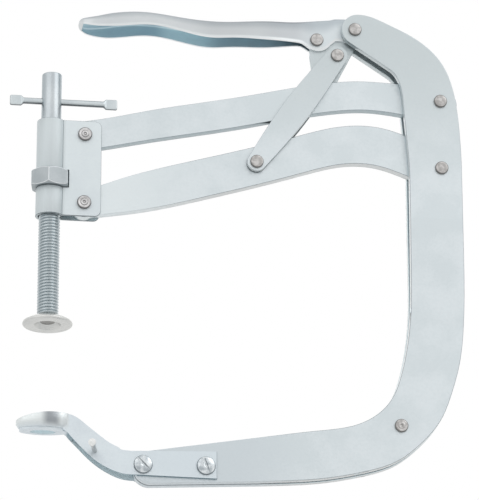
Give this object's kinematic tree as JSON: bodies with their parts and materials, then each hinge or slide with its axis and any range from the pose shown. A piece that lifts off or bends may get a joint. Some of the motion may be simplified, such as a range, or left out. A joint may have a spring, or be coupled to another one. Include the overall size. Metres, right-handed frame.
{
  "type": "valve spring compressor",
  "caption": "C-frame hand tool that squeezes a valve spring between a screw pad and a cup jaw, with an over-centre lever, link and parallel arms",
  "frame": {"origin": "on the screw's axis, about level with the jaw's cup rim", "axes": "+Z along the screw from the cup towards the tommy bar, +X from the screw towards the frame's back, +Y across the plates, away from the jaw pin"},
  "size_m": [0.2573, 0.034, 0.2842],
  "materials": {
    "frame_plate_front": "bright zinc plated, faintly mottled",
    "frame_plate_rear": "bright zinc plated, faintly mottled",
    "frame_bush": "plain zinc plated",
    "frame_rivet": "plain, warm grey",
    "lever_pivot_rivet": "plain, warm grey",
    "upper_arm_rivet": "plain, warm grey",
    "lower_arm_rivet": "plain, warm grey",
    "jaw": "bright zinc plated, polished cup",
    "jaw_spacer": "plain zinc plated",
    "jaw_screws": "bright zinc plated",
    "jaw_nuts": "bright zinc plated",
    "jaw_pin": "bright zinc plated",
    "lever": "satin zinc plated pressing",
    "toggle_plate": "bright zinc plated",
    "lever_lobe_rivet": "plain, warm grey",
    "link_front": "bright zinc plated",
    "link_rear": "bright zinc plated",
    "link_washers": "plain zinc plated",
    "link_top_rivet": "plain, warm grey",
    "link_bottom_rivet": "plain, warm grey",
    "upper_arm": "bright zinc plated",
    "lower_arm": "bright zinc plated",
    "clamp_head": "bright zinc plated",
    "head_rivet_upper": "plain, warm grey",
    "head_rivet_lower": "plain, warm grey",
    "hex_nut": "bright zinc plated",
    "pressure_pad": "bright zinc plated, polished",
    "screw_spindle": "bright zinc plated",
    "tommy_bar": "bright zinc plated"
  },
  "bodies": {
    "frame": {"frame_plate_front": "frame_plate_front", "frame_plate_rear": "frame_plate_rear", "frame_bush": "frame_bush", "frame_rivet": "frame_rivet", "lever_pivot_rivet": "lever_pivot_rivet", "upper_arm_rivet": "upper_arm_rivet", "lower_arm_rivet": "lower_arm_rivet", "jaw": "jaw", "jaw_spacer": "jaw_spacer", "jaw_screws": "jaw_screws", "jaw_nuts": "jaw_nuts", "jaw_pin": "jaw_pin"},
    "lever_body": {"lever": "lever", "toggle_plate": "toggle_plate", "lever_lobe_rivet": "lever_lobe_rivet"},
    "links": {"link_front": "link_front", "link_rear": "link_rear", "link_washers": "link_washers", "link_top_rivet": "link_top_rivet", "link_bottom_rivet": "link_bottom_rivet"},
    "upper_arm_body": {"upper_arm": "upper_arm"},
    "lower_arm_body": {"lower_arm": "lower_arm"},
    "head": {"clamp_head": "clamp_head", "head_rivet_upper": "head_rivet_upper", "head_rivet_lower": "head_rivet_lower", "hex_nut": "hex_nut"},
    "pad": {"pressure_pad": "pressure_pad"},
    "spindle": {"screw_spindle": "screw_spindle"},
    "bar": {"tommy_bar": "tommy_bar"}
  },
  "joints": [
    {"name": "lever_swing", "type": "hinge", "parent": "frame", "child": "lever_body", "pos_m": [0.1728, 0, 0.2379], "axis": [0, 1, 0], "range_deg": [0, 70]},
    {"name": "upper_arm_swing", "type": "hinge", "parent": "frame", "child": "upper_arm_body", "pos_m": [0.2218, 0, 0.1963], "axis": [0, 1, 0], "range_deg": [0, 6.65]},
    {"name": "lower_arm_swing", "type": "hinge", "parent": "frame", "child": "lower_arm_body", "pos_m": [0.2218, 0, 0.1555], "axis": [0, 1, 0], "range_deg": [0, 6.65]},
    {"name": "head_swing", "type": "hinge", "parent": "lower_arm_body", "child": "head", "pos_m": [0.0188, 0, 0.125], "axis": [0, 1, 0], "range_deg": [-6.65, 0]},
    {"name": "link_swing", "type": "hinge", "parent": "lever_body", "child": "links", "pos_m": [0.1627, 0, 0.2219], "axis": [0, 1, 0], "range_deg": [-78.75, 0]},
    {"name": "screw_feed", "type": "slide", "parent": "head", "child": "pad", "axis": [0, 0, 1], "range_m": [-0.00175, 0.0406]},
    {"name": "spindle_spin", "type": "hinge", "parent": "pad", "child": "spindle", "pos_m": [0, 0, 0.055], "axis": [0, 0, 1], "range_deg": [-360.5, 8352.5]},
    {"name": "tommy_bar_slide", "type": "slide", "parent": "spindle", "child": "bar", "axis": [1, 0, 0], "range_m": [-0.0219, 0.0083]}
  ],
  "couplings": [
    {"joint": "upper_arm_swing", "follows": "lever_swing", "ratio": 0.095},
    {"joint": "lower_arm_swing", "follows": "lever_swing", "ratio": 0.095},
    {"joint": "head_swing", "follows": "lever_swing", "ratio": -0.095},
    {"joint": "link_swing", "follows": "lever_swing", "ratio": -1.125},
    {"joint": "spindle_spin", "follows": "screw_feed", "rad_per_m": 3590.4}
  ]
}
